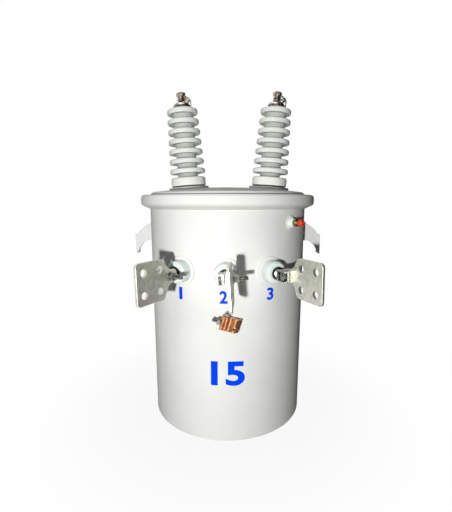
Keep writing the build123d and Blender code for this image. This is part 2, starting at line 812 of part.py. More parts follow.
clamp_seat = outward(ground_deg, tank_r + ground_pad_out, ground_z)
clamp_plane = Plane(
    origin=clamp_seat.origin,
    x_dir=clamp_seat.x_dir * cos(radians(ground_turn)) + clamp_seat.y_dir * sin(radians(ground_turn)),
    z_dir=clamp_seat.z_dir,
)
clamp_top = Plane(
    origin=clamp_plane.origin - clamp_plane.y_dir * (clamp_h / 2),
    x_dir=clamp_plane.x_dir,
    z_dir=clamp_plane.y_dir,
)
clamp_half = clamp_w / 2
lobe_x = clamp_half * clamp_lobe_share
with BuildPart() as ground_clamp:
    with BuildSketch(clamp_top):
        with BuildLine():
            Polyline(
                (-clamp_half, 0),
                (-clamp_half, -clamp_back),
                (lobe_x + clamp_lobe_r, -clamp_back),
                (clamp_half, -clamp_toe),
                (clamp_half, 0),
                close=True,
            )
        make_face()
        for share in clamp_rib_shares:
            with Locations((clamp_half * share, -clamp_back)):
                Circle(clamp_rib_r)
        with Locations((lobe_x, -clamp_back)):
            Circle(clamp_lobe_r)
    extrude(amount=clamp_h)
    with BuildSketch(clamp_plane):
        with Locations((clamp_bore_x, -clamp_bore_low)):
            Circle(clamp_bore_r)
    extrude(amount=clamp_back + clamp_lobe_r + overrun, mode=Mode.SUBTRACT)
    bolt_side = Plane(
        origin=clamp_plane.origin - clamp_plane.x_dir * (clamp_w / 2) + clamp_plane.z_dir * (clamp_back / 2),
        x_dir=clamp_plane.y_dir,
        z_dir=-clamp_plane.x_dir,
    )
    with BuildSketch(bolt_side):
        Circle(ground_bolt_r + slip)
    extrude(amount=-ground_bolt_in, mode=Mode.SUBTRACT)
keep(ground_clamp.part, "ground_clamp")

with BuildPart() as ground_bolt:
    with BuildSketch(bolt_side):
        RegularPolygon(ground_bolt_flats / 2, 6, major_radius=False)
    extrude(amount=ground_bolt_head)
    with BuildSketch(bolt_side.offset(-ground_bolt_in)):
        Circle(ground_bolt_r)
    extrude(amount=ground_bolt_in + ground_bolt_head + ground_bolt_tail)
keep(ground_bolt.part, "ground_bolt")

# Hanger brackets: bent channels with a tall slot for the pole bolt
hanger_face = tank_r + hanger_out
for name, height in hangers.items():
    with BuildPart() as hanger:
        with BuildSketch(Plane.XY.offset(height - hanger_h / 2)) as channel:
            with Locations((0, hanger_face / 2)):
                Rectangle(hanger_w, hanger_face)
            fillet(channel.vertices().group_by(Axis.Y)[-1], hanger_round)
            with Locations((0, (hanger_face - hanger_t) / 2)):
                Rectangle(hanger_w - 2 * hanger_t, hanger_face - hanger_t, mode=Mode.SUBTRACT)
        extrude(amount=hanger_h)
        Cylinder(tank_r, tank_h, align=(Align.CENTER, Align.CENTER, Align.MIN), mode=Mode.SUBTRACT)
        with BuildSketch(Plane.XZ.offset(-hanger_face - overrun)):
            with Locations((0, height)):
                SlotOverall(slot_length, 2 * slot_r, rotation=90)
        extrude(amount=hanger_t + overrun + overrun, mode=Mode.SUBTRACT)
    keep(hanger.part, f"hanger_bracket_{name}")
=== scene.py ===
import json
import math
import bpy
import bmesh
from mathutils import Matrix, Vector


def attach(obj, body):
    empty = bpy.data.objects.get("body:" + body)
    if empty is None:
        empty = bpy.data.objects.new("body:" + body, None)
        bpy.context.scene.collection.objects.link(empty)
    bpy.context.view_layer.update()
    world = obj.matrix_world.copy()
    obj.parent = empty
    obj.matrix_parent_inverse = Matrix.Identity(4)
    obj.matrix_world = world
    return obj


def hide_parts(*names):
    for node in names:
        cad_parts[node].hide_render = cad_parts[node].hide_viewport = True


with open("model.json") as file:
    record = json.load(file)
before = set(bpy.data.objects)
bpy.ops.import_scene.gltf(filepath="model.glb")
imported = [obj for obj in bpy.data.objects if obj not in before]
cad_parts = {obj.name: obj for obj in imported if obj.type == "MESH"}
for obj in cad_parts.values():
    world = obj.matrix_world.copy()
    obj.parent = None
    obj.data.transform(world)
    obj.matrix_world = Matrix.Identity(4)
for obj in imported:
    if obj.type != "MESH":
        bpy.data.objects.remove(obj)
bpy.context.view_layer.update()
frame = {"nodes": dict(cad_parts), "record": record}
cadNodes = frame["nodes"]
mm = 0.001
print("frame loaded,", len(cadNodes), "nodes")


# Colours are written as sRGB hex and used as linear
def hexColour(code):
    parts = [int(code[i:i + 2], 16) / 255 for i in (1, 3, 5)]
    return [c / 12.92 if c <= 0.04045 else ((c + 0.055) / 1.055) ** 2.4 for c in parts] + [1.0]


def perMetre(sizeMm):  # pattern scale for a feature of this size
    return 1000 / sizeMm


# Adds one node: settings go to sockets or properties, links join sockets
def addNode(tree, kind, settings, links):
    node = tree.nodes.new(kind)
    for key, value in settings.items():
        if isinstance(key, int) or key in node.inputs:
            node.inputs[key].default_value = value
        else:
            setattr(node, key, value)
    for key, socket in links.items():
        tree.links.new(socket, node.inputs[key])
    return node


def newMaterial(name, settings):
    material = bpy.data.materials.new(name)
    material.use_nodes = True
    tree = material.node_tree
    shader = tree.nodes["Principled BSDF"]
    for key, value in settings.items():
        shader.inputs[key].default_value = value
    place = addNode(tree, "ShaderNodeTexCoord", {}, {}).outputs["Object"]
    return material, tree, shader, place


noiseDetail = {"patches": 4.0, "rough": 3.0, "grain": 2.0}
roughLevels = {"From Min": 0.3, "From Max": 0.7}  # noise at the smoothest and at the roughest spots


# Two tones mixed by a noise, used by all the finishes
def mottled(tree, place, tones, patches):
    scale = {"Scale": perMetre(patches["mm"]), "Detail": noiseDetail["patches"]}
    noise = addNode(tree, "ShaderNodeTexNoise", scale, {"Vector": place})
    fade = {"From Min": patches["levels"][0], "From Max": patches["levels"][1]}
    share = addNode(tree, "ShaderNodeMapRange", fade, {"Value": noise.outputs[0]})
    mix = {"data_type": "RGBA", 6: hexColour(tones[0]), 7: hexColour(tones[1])}
    return addNode(tree, "ShaderNodeMix", mix, {0: share.outputs[0]}).outputs[2]


# Painted shade: a darker tone in the grooves, mixed in by ambient occlusion where the surface lies close to
# itself and shade falls
def paintGrooveShade(tree, colour, paintedGrooveShade):
    nearby = {"Distance": paintedGrooveShade["mm"] * mm, "only_local": True}
    openness = addNode(tree, "ShaderNodeAmbientOcclusion", nearby, {})
    fade = {"From Min": paintedGrooveShade["levels"][0], "From Max": paintedGrooveShade["levels"][1]}
    share = addNode(tree, "ShaderNodeMapRange", fade, {"Value": openness.outputs["AO"]})
    mix = {"data_type": "RGBA", 6: hexColour(paintedGrooveShade["tone"])}
    return addNode(tree, "ShaderNodeMix", mix, {0: share.outputs[0], 7: colour}).outputs[2]


# Roughness that wanders between two values
def wandering(tree, place, rough):
    scale = {"Scale": perMetre(rough["mm"]), "Detail": noiseDetail["rough"]}
    noise = addNode(tree, "ShaderNodeTexNoise", scale, {"Vector": place})
    spread = {**roughLevels, "To Min": rough["range"][0], "To Max": rough["range"][1]}
    return addNode(tree, "ShaderNodeMapRange", spread, {"Value": noise.outputs[0]}).outputs[0]


# Shallow relief, laid over the relief below it
def grained(tree, place, layer, below):
    scale = {"Scale": perMetre(layer["mm"]), "Detail": noiseDetail["grain"]}
    noise = addNode(tree, "ShaderNodeTexNoise", scale, {"Vector": place})
    links = {"Height": noise.outputs[0]}
    if below is not None:
        links["Normal"] = below
    relief = {"Strength": layer["strength"], "Distance": layer["depthMm"] * mm}
    return addNode(tree, "ShaderNodeBump", relief, links).outputs[0]


# Makes a finish from its look: what the look doesn't name is left out
def newFinish(name, look):
    material, tree, shader, place = newMaterial(name, look["shader"])
    colour = mottled(tree, place, look["tones"], look["patches"])
    # painted shade in the grooves, for the looks that ask for it
    if "paintedGrooveShade" in look:
        colour = paintGrooveShade(tree, colour, look["paintedGrooveShade"])
    tree.links.new(colour, shader.inputs["Base Color"])
    if "rough" in look:
        tree.links.new(wandering(tree, place, look["rough"]), shader.inputs["Roughness"])
    normal = None
    for layer in look.get("grain", ()):
        normal = grained(tree, place, layer, normal)
    if normal is not None:
        tree.links.new(normal, shader.inputs["Normal"])
    return material


# Polyurethane enamel, sprayed on rolled steel: pale, softly glossy, with faint sheet waves and orange peel
enamelLook = {
    "shader": {"IOR": 1.5, "Specular IOR Level": 0.0, "Coat Weight": 0.08, "Coat Roughness": 0.14},
    "tones": ("#E6E7E3", "#E0E1DD"),
    "patches": {"mm": 160, "levels": (0.35, 0.7)},
    "rough": {"mm": 60, "range": (0.24, 0.34)},
    "grain": (
        {"mm": 120, "depthMm": 0.5, "strength": 0.25},  # waves of the sheet
        {"mm": 2.2, "depthMm": 0.02, "strength": 0.35},  # orange peel
    ),
}
enamel = newFinish("enamelled_steel", enamelLook)

# Glazed electrical porcelain, dipped and fired: pale grey green and glossy, with shade painted darker between
# the sheds
glazeLook = {
    "shader": {"IOR": 1.52, "Specular IOR Level": 0.0, "Coat Weight": 0.15, "Coat Roughness": 0.08},
    "tones": ("#F0F0EB", "#E8ECE6"),
    "patches": {"mm": 22, "levels": (0.35, 0.7)},
    # painted shade between the sheds: this tone is mixed in where ambient occlusion finds the surface close
    # to itself
    "paintedGrooveShade": {"mm": 16, "levels": (0.35, 0.85), "tone": "#B2B9B3"},
    "rough": {"mm": 9, "range": (0.06, 0.13)},
    "grain": ({"mm": 7, "depthMm": 0.06, "strength": 0.3},),
}
glaze = newFinish("glazed_porcelain", glazeLook)

# Glazed porcelain of the low voltage bushings: a cooler tone and a stronger shine
paleGlazeLook = {
    "shader": {"IOR": 1.52, "Specular IOR Level": 0.05, "Coat Weight": 0.3, "Coat Roughness": 0.06},
    "tones": ("#E0E8E5", "#D5DFDB"),
    "patches": {"mm": 15, "levels": (0.35, 0.7)},
    "rough": {"mm": 8, "range": (0.08, 0.16)},
    "grain": ({"mm": 6, "depthMm": 0.05, "strength": 0.3},),
}
paleGlaze = newFinish("pale_glazed_porcelain", paleGlazeLook)

# Tinned bronze plate: dull warm grey with a fine blasted grain and faint patches of tarnish
tinLook = {
    "shader": {"Metallic": 1.0},
    "tones": ("#DCDCD2", "#C2C2B5"),
    "patches": {"mm": 9, "levels": (0.4, 0.75)},
    "rough": {"mm": 5, "range": (0.44, 0.56)},
    "grain": ({"mm": 0.9, "depthMm": 0.05, "strength": 0.4},),
}
tinned = newFinish("tinned_bronze", tinLook)

# Old bare bronze, cast, on the high voltage terminals: brown grey, dark in the tarnish
bronzeLook = {
    "shader": {"Metallic": 1.0},
    "tones": ("#C9BDB1", "#5C4E45"),
    "patches": {"mm": 7, "levels": (0.38, 0.62)},
    "rough": {"mm": 4, "range": (0.24, 0.42)},
    "grain": ({"mm": 1.0, "depthMm": 0.06, "strength": 0.4},),
}
oldBronze = newFinish("tarnished_bronze", bronzeLook)

# Zinc plated steel: cool grey, semi bright, stained in patches
zincLook = {
    "shader": {"Metallic": 1.0},
    "tones": ("#A2A29E", "#6E6C67"),
    "patches": {"mm": 6, "levels": (0.45, 0.8)},
    "rough": {"mm": 3, "range": (0.2, 0.34)},
    "grain": ({"mm": 0.8, "depthMm": 0.03, "strength": 0.3},),
}
zinc = newFinish("zinc_plated_steel", zincLook)

# Cast copper alloy: orange brown, dark where it has oxidised, with a sand cast skin
copperLook = {
    "shader": {"Metallic": 1.0},
    "tones": ("#DFA272", "#64381C"),
    "patches": {"mm": 9, "levels": (0.4, 0.75)},
    "rough": {"mm": 4, "range": (0.24, 0.4)},
    "grain": ({"mm": 1.1, "depthMm": 0.08, "strength": 0.5},),
}
copper = newFinish("cast_copper_alloy", copperLook)

# Machined brass: dull yellow and fairly smooth
brassLook = {
    "shader": {"Metallic": 1.0},
    "tones": ("#A99C70", "#7C7048"),
    "patches": {"mm": 6, "levels": (0.45, 0.8)},
    "rough": {"mm": 3, "range": (0.22, 0.36)},
}
brass = newFinish("machined_brass", brassLook)

# Moulded polypropylene cap: strong red with a fine moulded grain
redLook = {
    "shader": {"IOR": 1.49},
    "tones": ("#E4301A", "#D02812"),
    "patches": {"mm": 5, "levels": (0.4, 0.7)},
    "rough": {"mm": 3, "range": (0.3, 0.42)},
    "grain": ({"mm": 0.8, "depthMm": 0.03, "strength": 0.3},),
}
redPlastic = newFinish("moulded_polypropylene", redLook)

# Nitrile rubber: near black, dull, with a moulded grain
rubberLook = {
    "shader": {"IOR": 1.5},
    "tones": ("#1E1E1F", "#2B2B2B"),
    "patches": {"mm": 6, "levels": (0.4, 0.7)},
    "rough": {"mm": 3, "range": (0.62, 0.8)},
    "grain": ({"mm": 0.7, "depthMm": 0.05, "strength": 0.4},),
}
rubber = newFinish("nitrile_rubber", rubberLook)

# Cork rubber sheet: dark grey, matt and speckled
corkLook = {
    "shader": {"IOR": 1.5},
    "tones": ("#3C3937", "#282625"),
    "patches": {"mm": 2.5, "levels": (0.45, 0.6)},
    "rough": {"mm": 3, "range": (0.75, 0.9)},
}
cork = newFinish("cork_rubber", corkLook)
print("materials made")

finishes = {
    "tank_paint": enamel,
    "black_rubber": rubber,
    "grey_rubber": cork,
    "hv_porcelain": glaze,
    "lv_porcelain": paleGlaze,
    "tinned_bronze": tinned,
    "zinc_steel": zinc,
    "copper_alloy": copper,
    "brass": brass,
    "red_plastic": redPlastic,
}
ownFinishes = {"hv_cap": oldBronze, "hv_terminal": oldBronze, "lv_jaw": zinc}  # by the start of a node's name
for entry in frame["record"]["subparts"]:
    finish = finishes[entry["material_slot"]]
    for start, ownFinish in ownFinishes.items():
        if entry["node"].startswith(start):
            finish = ownFinish
    node = cadNodes[entry["node"]]
    node.data.materials.clear()
    node.data.materials.append(finish)
print("finishes put on the CAD nodes")


# Pieces are drawn in millimetres in a frame of their own and set in place by a matrix
def placed(origin, xDir, zDir):
    z = Vector(zDir).normalized()
    x = (Vector(xDir) - Vector(xDir).dot(z) * z).normalized()
    matrix = Matrix((x, z.cross(x), z)).transposed().to_4x4()
    matrix.translation = Vector(origin)
    return matrix


# Frame on the tank's wall: x runs round to the right, y up and z outward
def onTank(deg, reach, height, turnDeg=0.0):
    a = math.radians(deg)
    t = math.radians(turnDeg)
    out = Vector((math.sin(a), -math.cos(a), 0))
    right = Vector((math.cos(a), math.sin(a), 0))
    turned = right * math.cos(t) + Vector((0, 0, math.sin(t)))
    return placed(out * reach + Vector((0, 0, height)), turned, out)


meshCare = {"mergeMm": 0.001, "sliverMm": 0.0001, "sharpDeg": 35}


def addPiece(name, parts, material, replaced=(), sharpDeg=meshCare["sharpDeg"]):
    points = []
    faces = []
    for matrix, partPoints, partFaces in parts:
        base = len(points)
        points += [(matrix @ Vector(p)) * mm for p in partPoints]
        faces += [[base + i for i in f] for f in partFaces]
    mesh = bpy.data.meshes.new(name)
    mesh.from_pydata(points, [], faces)
    cleaner = bmesh.new()
    cleaner.from_mesh(mesh)
    bmesh.ops.remove_doubles(cleaner, verts=cleaner.verts, dist=meshCare["mergeMm"] * mm)
    bmesh.ops.dissolve_degenerate(cleaner, edges=cleaner.edges, dist=meshCare["sliverMm"] * mm)
    bmesh.ops.recalc_face_normals(cleaner, faces=cleaner.faces)
    cleaner.to_mesh(mesh)
    cleaner.free()
    mesh.shade_smooth()
    mesh.set_sharp_from_angle(angle=math.radians(sharpDeg))
    mesh.materials.append(material)
    piece = bpy.data.objects.new(name, mesh)
    bpy.context.collection.objects.link(piece)
    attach(piece, "root")
    if replaced:
        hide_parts(*replaced)


def fullTurn(steps):  # angles of equal steps round a circle
    return [2 * math.pi * i / steps for i in range(steps)]


def joinRings(rings, closed=False):
    points = [p for ring in rings for p in ring]
    faces = []
    n = len(rings[0])
    for row in range(len(rings) if closed else len(rings) - 1):
        a = row * n
        b = (row + 1) % len(rings) * n
        faces += [[a + i, a + (i + 1) % n, b + (i + 1) % n, b + i] for i in range(n)]
    return points, faces


def lathe(profile, steps=48, closed=False):
    turns = fullTurn(steps)
    return joinRings([[(r * math.cos(a), r * math.sin(a), z) for a in turns] for r, z in profile], closed)


def ringWasher(outerR, innerR, low, high, edge=0.3):
    profile = [
        (innerR, low),
        (outerR - edge, low),
        (outerR, low + edge),
        (outerR, high - edge),
        (outerR - edge, high),
        (innerR, high),
    ]
    return lathe(profile, closed=True)


hexCut = {"startShare": 0.98, "deg": 30, "steps": 72}  # the chamfer starts just inside the flats


# Hexagon with its corners turned off, as on a machined head or nut
def hexBlock(flats, low, high, lowCut=False, boreR=0.0):
    apothem = flats / 2
    faceR = apothem * hexCut["startShare"]
    rings = [[], [], [], [], [], []]
    for a in fullTurn(hexCut["steps"]):
        reach = apothem / math.cos(a % (math.pi / 3) - math.pi / 6)
        fall = max(0.0, reach - faceR) * math.tan(math.radians(hexCut["deg"]))
        fall = math.copysign(fall, high - low)  # a head is drawn downward
        outline = (
            (boreR, low),
            (faceR if lowCut else reach, low),
            (reach, low + fall if lowCut else low),
            (reach, high - fall),
            (faceR, high),
            (boreR, high),
        )
        for ring, (r, z) in zip(rings, outline):
            ring.append((r * math.cos(a), r * math.sin(a), z))
    return joinRings(rings)


thread = {"depthShare": 0.6, "endShare": 0.8, "plugShare": 0.97, "plugDrop": 0.02}


# Screw thread: a root line and a crest line wound up the shank, with a chamfered end
def screwThread(radius, pitch, low, high, steps=28):
    depth = thread["depthShare"] * pitch
    endR = radius - thread["endShare"] * depth
    points = []
    faces = []
    count = (int((high - low) / pitch) + 2) * steps
    for i in range(count + 1):
        a = 2 * math.pi * i / steps
        for share, r in ((0.0, radius - depth), (0.5, radius)):  # the crest is half a pitch on
            z = min(max(low + pitch * (i / steps + share - 1), low), high)
            r = min(r, endR + (high - z))
            points.append((r * math.cos(a), r * math.sin(a), z))
    for i in range(count):
        faces.append([2 * i, 2 * i + 2, 2 * i + 3, 2 * i + 1])
        if i + steps < count:
            faces.append([2 * i + 1, 2 * i + 3, 2 * (i + steps) + 2, 2 * (i + steps)])
    base = len(points)
    plugR = thread["plugShare"] * endR  # a flat plug closes the end
    plugZ = high - thread["plugDrop"]
    points += [(plugR * math.cos(a), plugR * math.sin(a), plugZ) for a in fullTurn(steps)]
    faces.append([base + i for i in range(steps)])
    return points, faces


weld = {"rippleMm": 3.2, "rippleShare": 0.1, "stepMm": 1.1, "sides": 8, "leastSlant": 0.1, "sharpDeg": 60}


# Weld bead: a rippled tube along a line of points
def weldBead(path, radius, closed=False, rippleMm=weld["rippleMm"], stepMm=weld["stepMm"]):
    path = [Vector(p) for p in path] + ([Vector(path[0])] if closed else [])
    turns = fullTurn(weld["sides"])
    rings = []
    walked = 0.0
    way = 0.0
    for a, b in zip(path, path[1:]):
        span = (b - a).length
        forward = (b - a).normalized()
        up = forward.cross(Vector((a.x, a.y, 0)).normalized())
        up = up.normalized() if up.length > weld["leastSlant"] else Vector((0, 0, 1))  # along the radius
        side = forward.cross(up)
        while way <= span:
            centre = a + forward * way
            wave = abs(math.sin(math.pi * (walked + way) / rippleMm))
            ripple = radius * (1 - weld["rippleShare"] + weld["rippleShare"] * wave)
            rings.append([tuple(centre + (up * math.cos(t) + side * math.sin(t)) * ripple) for t in turns])
            way += stepMm
        walked += span
        way -= span
    points, faces = joinRings(rings, closed)
    if not closed:
        faces += [list(range(len(turns))), list(range(len(points) - len(turns), len(points)))]
    return points, faces


def wallPoint(shift, height, deg, reach):  # a point on a round wall, shifted sideways from a radius
    a = math.radians(deg) + math.asin(shift / reach)
    return (reach * math.sin(a), -reach * math.cos(a), height)


tank = {"radius": 203.0}
spades = {
    "left": {"deg": -29.0, "turn": 1.1},
    "centre": {"deg": 0.0, "turn": 3.9},
    "right": {"deg": 29.0, "turn": 1.6},
}
bushing = {"height": 412.5, "tip": 233.5, "washer": 3.0, "bare": 14.0}  # bare stud up to the clamp

# Clamp bolts of the spades: hex head in the jaw's recess, flat and spring washer, nut and a long thread
clampBolt = {
    "out": 17.0,
    "left": 6.6,
    "flats": 15.9,
    "head": 6.5,
    "inHead": 1.0,
    "shankR": 4.76,
    "rootDrop": 0.4,  # the plain shank and the nut's bore lie under the thread's crest
    "pitch": 1.6,
    "tail": 29.0,
    "nutAt": 24.9,
    "washerR": 9.6,
    "washerSunk": 0.5,
    "washerTop": 1.2,
    "springR": 7.8,
    "springTop": 3.4,
    "nutTop": 11.4,
}
hubIn = bushing["tip"] + bushing["washer"] + bushing["bare"]
shankR = clampBolt["shankR"]
rootR = shankR - clampBolt["rootDrop"]
nutAt = clampBolt["nutAt"]
washerLow = nutAt - clampBolt["washerSunk"]
washerTop = nutAt + clampBolt["washerTop"]
springTop = nutAt + clampBolt["springTop"]
nutTop = nutAt + clampBolt["nutTop"]
for name, spade in spades.items():
    seat = onTank(spade["deg"], hubIn + clampBolt["out"], bushing["height"], spade["turn"])
    right = seat.col[0].xyz
    out = seat.col[2].xyz
    bolt = placed(seat.translation - right * clampBolt["left"], out, right)
    parts = [
        (bolt, *hexBlock(clampBolt["flats"], 0.0, -clampBolt["head"])),
        (bolt, *ringWasher(clampBolt["washerR"], shankR, washerLow, washerTop)),
        (bolt, *ringWasher(clampBolt["springR"], shankR, washerTop, springTop)),
        (bolt, *hexBlock(clampBolt["flats"], springTop, nutTop, True, rootR)),
        (bolt, *lathe([(rootR, -clampBolt["inHead"]), (rootR, nutAt)])),
        (bolt, *screwThread(shankR, clampBolt["pitch"], nutAt, nutAt + clampBolt["tail"])),
    ]
    addPiece(f"clamp_bolt_{name}", parts, zinc, (f"lv_clamp_bolt_{name}",))

# Low voltage studs: a plain shank through the porcelain and a thread up into the clamp
stud = {"start": 176.5, "radius": 10.0, "pitch": 2.5, "end": 258.0, "steps": 48}
studR = stud["radius"]
neck = bushing["tip"] + bushing["washer"] / 2
shank = [(0.0, stud["start"]), (studR, stud["start"]), (studR, neck), (0.0, neck)]
for name, spade in spades.items():
    seat = onTank(spade["deg"], 0.0, bushing["height"])
    parts = [
        (seat, *lathe(shank)),
        (seat, *screwThread(studR, stud["pitch"], neck, stud["end"], stud["steps"])),
    ]
    addPiece(f"threaded_stud_{name}", parts, tinned, (f"lv_stud_{name}",))

# Band bolt: hex head, nut and thread through the two ears
bandBolt = {
    "deg": 140.0,
    "reach": 239.8,
    "height": 570.95,
    "left": 12.0,
    "grip": 24.0,
    "flats": 16.0,
    "head": 8.0,
    "shankR": 4.8,
    "rootDrop": 0.4,
    "pitch": 1.6,
    "tail": 16.0,
}
seat = onTank(bandBolt["deg"], bandBolt["reach"], bandBolt["height"])
right = seat.col[0].xyz
out = seat.col[2].xyz
bolt = placed(seat.translation - right * bandBolt["left"], out, right)
grip = bandBolt["grip"]
rootR = bandBolt["shankR"] - bandBolt["rootDrop"]
parts = [
    (bolt, *hexBlock(bandBolt["flats"], 0.0, -bandBolt["head"])),
    (bolt, *hexBlock(bandBolt["flats"], grip, grip + bandBolt["head"], True, rootR)),
    (bolt, *screwThread(bandBolt["shankR"], bandBolt["pitch"], 0.0, grip + bandBolt["tail"])),
]
addPiece("band_closing_bolt", parts, zinc, ("band_bolt",))

# Ground bolt: washer, hex nut and threaded end on the left of the clamp
groundBolt = {
    "deg": 2.75,
    "reach": 216.5,
    "height": 299.0,
    "turn": -16.0,
    "side": 22.25,
    "flats": 14.5,
    "nut": 7.5,
    "boreR": 3.6,
    "washerR": 7.6,
    "washer": 1.3,
    "shankR": 4.0,
    "pitch": 1.25,
    "inClamp": 3.0,
    "tail": 12.0,
}
seat = onTank(groundBolt["deg"], groundBolt["reach"], groundBolt["height"], groundBolt["turn"])
right = seat.col[0].xyz
up = seat.col[1].xyz
bolt = placed(seat.translation - right * groundBolt["side"], up, -right)
nut = groundBolt["nut"]
washer = groundBolt["washer"]
threadEnd = nut + groundBolt["tail"]
parts = [
    (bolt, *ringWasher(groundBolt["washerR"], groundBolt["boreR"], 0.0, washer)),
    (bolt, *hexBlock(groundBolt["flats"], washer, washer + nut, True, groundBolt["boreR"])),
    (bolt, *screwThread(groundBolt["shankR"], groundBolt["pitch"], -groundBolt["inClamp"], threadEnd)),
]
addPiece("ground_clamp_bolt", parts, zinc, ("ground_bolt",))

# A second nut on top of the ground clamp, on a short threaded end
topNut = {
    "side": -12.0,
    "rise": 15.5,
    "flats": 12.5,
    "top": 7.0,
    "boreR": 3.4,
    "washerR": 7.4,
    "washer": 1.3,
    "shankR": 3.8,
    "pitch": 1.25,
    "end": 10.0,
}
bolt = placed(seat.translation + right * topNut["side"] + up * topNut["rise"], right, up)
parts = [
    (bolt, *ringWasher(topNut["washerR"], topNut["boreR"], 0.0, topNut["washer"])),
    (bolt, *hexBlock(topNut["flats"], topNut["washer"], topNut["top"], True, topNut["boreR"])),
    (bolt, *screwThread(topNut["shankR"], topNut["pitch"], 0.0, topNut["end"])),
]
addPiece("ground_clamp_nut", parts, zinc)
print("bolts made")

flat = Matrix.Identity(4)


def wallPath(points, deg, proud):  # points of sideways shift and height, laid on the tank's wall
    reach = tank["radius"] + proud
    return [wallPoint(shift, height, deg, reach) for shift, height in points]


def circle(radius, height, count):
    return [(radius * math.cos(a), height + radius * math.sin(a)) for a in fullTurn(count)]


def addWeld(name, *beads):
    addPiece(name, [(flat, *bead) for bead in beads], enamel, (), weld["sharpDeg"])


# Welds round the bushing bosses and the relief boss
bossWeld = {"ringR": 32.7, "count": 96, "proud": 0.2, "beadR": 1.7}
for name, spade in spades.items():
    ring = circle(bossWeld["ringR"], bushing["height"], bossWeld["count"])
    path = wallPath(ring, spade["deg"], bossWeld["proud"])
    addWeld(f"boss_weld_{name}", weldBead(path, bossWeld["beadR"], True))
reliefWeld = {"deg": 47.1, "height": 519.0, "ringR": 14.9, "count": 60, "proud": 0.4, "beadR": 1.8}
ring = circle(reliefWeld["ringR"], reliefWeld["height"], reliefWeld["count"])
path = wallPath(ring, reliefWeld["deg"], reliefWeld["proud"])
addWeld("relief_weld", weldBead(path, reliefWeld["beadR"], True))

# Welds up one side of each lug, over its top and down the other side
lugWeld = {"half": 5.5, "low": 464.5, "high": 511.0, "proud": 0.6, "beadR": 3.0}
half = lugWeld["half"]
corners = [(-half, lugWeld["low"]), (-half, lugWeld["high"]), (half, lugWeld["high"]), (half, lugWeld["low"])]
for name, deg in (("left", -90.0), ("right", 90.0)):
    path = wallPath(corners, deg, lugWeld["proud"])
    addWeld(f"lug_weld_{name}", weldBead(path, lugWeld["beadR"]))

# Weld round the ground pad
padWeld = {"halfW": 13.0, "halfH": 11.0, "proud": 0.5, "beadR": 1.8}
low = groundBolt["height"] - padWeld["halfH"]
high = groundBolt["height"] + padWeld["halfH"]
half = padWeld["halfW"]
corners = [(-half, low), (-half, high), (half, high), (half, low)]
path = wallPath(corners, groundBolt["deg"], padWeld["proud"])
addWeld("ground_pad_weld", weldBead(path, padWeld["beadR"], True))

# Welds down both sides of each hanger bracket
hangerWeld = {"deg": 180.0, "half": 48.0, "span": 50.0, "proud": 0.8, "beadR": 3.2}
hangerHeights = {"upper": 417.875, "lower": 132.125}
for name, height in hangerHeights.items():
    beads = []
    for shift in (-hangerWeld["half"], hangerWeld["half"]):
        ends = [(shift, height - hangerWeld["span"]), (shift, height + hangerWeld["span"])]
        path = wallPath(ends, hangerWeld["deg"], hangerWeld["proud"])
        beads.append(weldBead(path, hangerWeld["beadR"]))
    addWeld(f"hanger_weld_{name}", *beads)

# Seam of the rolled shell, its bead sunk a little in the wall
seam = {"deg": 158.0, "low": 1.0, "high": 545.0, "proud": -0.4, "beadR": 1.7, "rippleMm": 4.0, "stepMm": 2.0}
path = wallPath([(0.0, seam["low"]), (0.0, seam["high"])], seam["deg"], seam["proud"])
addWeld("shell_seam", weldBead(path, seam["beadR"], False, seam["rippleMm"], seam["stepMm"]))
print("welds made")

# Screen ink, stencilled on the enamel: a strong, flat blue
inkLook = {
    "shader": {"IOR": 1.5, "Specular IOR Level": 0.03, "Roughness": 0.45},
    "tones": ("#0045FC", "#0040F2"),
    "patches": {"mm": 12, "levels": (0.4, 0.7)},
}
ink = newFinish("screen_ink", inkLook)

# Plain numbers on the tank: meshes bent round the wall
stencil = {"proud": 0.25, "bold": 0.032, "curveSteps": 6, "cutMm": 4.0}
numbers = {
    "rating": {"text": "15", "deg": 1.4, "height": 173.5, "tall": 61.0, "wide": 80.0},
    "left": {"text": "1", "deg": -31.0, "height": 359.0, "tall": 29.3, "wide": 9.5},
    "centre": {"text": "2", "deg": -1.4, "height": 357.0, "tall": 29.3, "wide": 18.0},
    "right": {"text": "3", "deg": 30.0, "height": 359.0, "tall": 29.3, "wide": 18.0},
}
reach = tank["radius"] + stencil["proud"]
for name, mark in numbers.items():
    curve = bpy.data.curves.new(f"number_{name}", "FONT")
    curve.body = mark["text"]
    curve.resolution_u = stencil["curveSteps"]
    curve.offset = stencil["bold"]
    letter = bpy.data.objects.new("letter", curve)
    bpy.context.collection.objects.link(letter)
    drawn = letter.evaluated_get(bpy.context.evaluated_depsgraph_get())
    outline = bpy.data.meshes.new_from_object(drawn)
    bpy.data.objects.remove(letter)
    work = bmesh.new()
    work.from_mesh(outline)
    bpy.data.meshes.remove(outline)
    low = [min(v.co[i] for v in work.verts) for i in (0, 1)]
    high = [max(v.co[i] for v in work.verts) for i in (0, 1)]
    for v in work.verts:
        v.co.x = ((v.co.x - low[0]) / (high[0] - low[0]) - 0.5) * mark["wide"]
        v.co.y = ((v.co.y - low[1]) / (high[1] - low[1]) - 0.5) * mark["tall"]
    cut = -mark["wide"] / 2 + stencil["cutMm"]
    while cut < mark["wide"] / 2:  # upright cuts, so that the flat numbers can bend
        whole = work.verts[:] + work.edges[:] + work.faces[:]
        bmesh.ops.bisect_plane(work, geom=whole, plane_co=(cut, 0, 0), plane_no=(1, 0, 0))
        cut += stencil["cutMm"]
    work.verts.index_update()
    points = []
    for v in work.verts:
        shift = reach * math.sin(v.co.x / reach)
        points.append(wallPoint(shift, mark["height"] + v.co.y, mark["deg"], reach))
    faces = [[v.index for v in f.verts] for f in work.faces]
    work.free()
    addPiece(f"number_{name}", [(flat, points, faces)], ink)
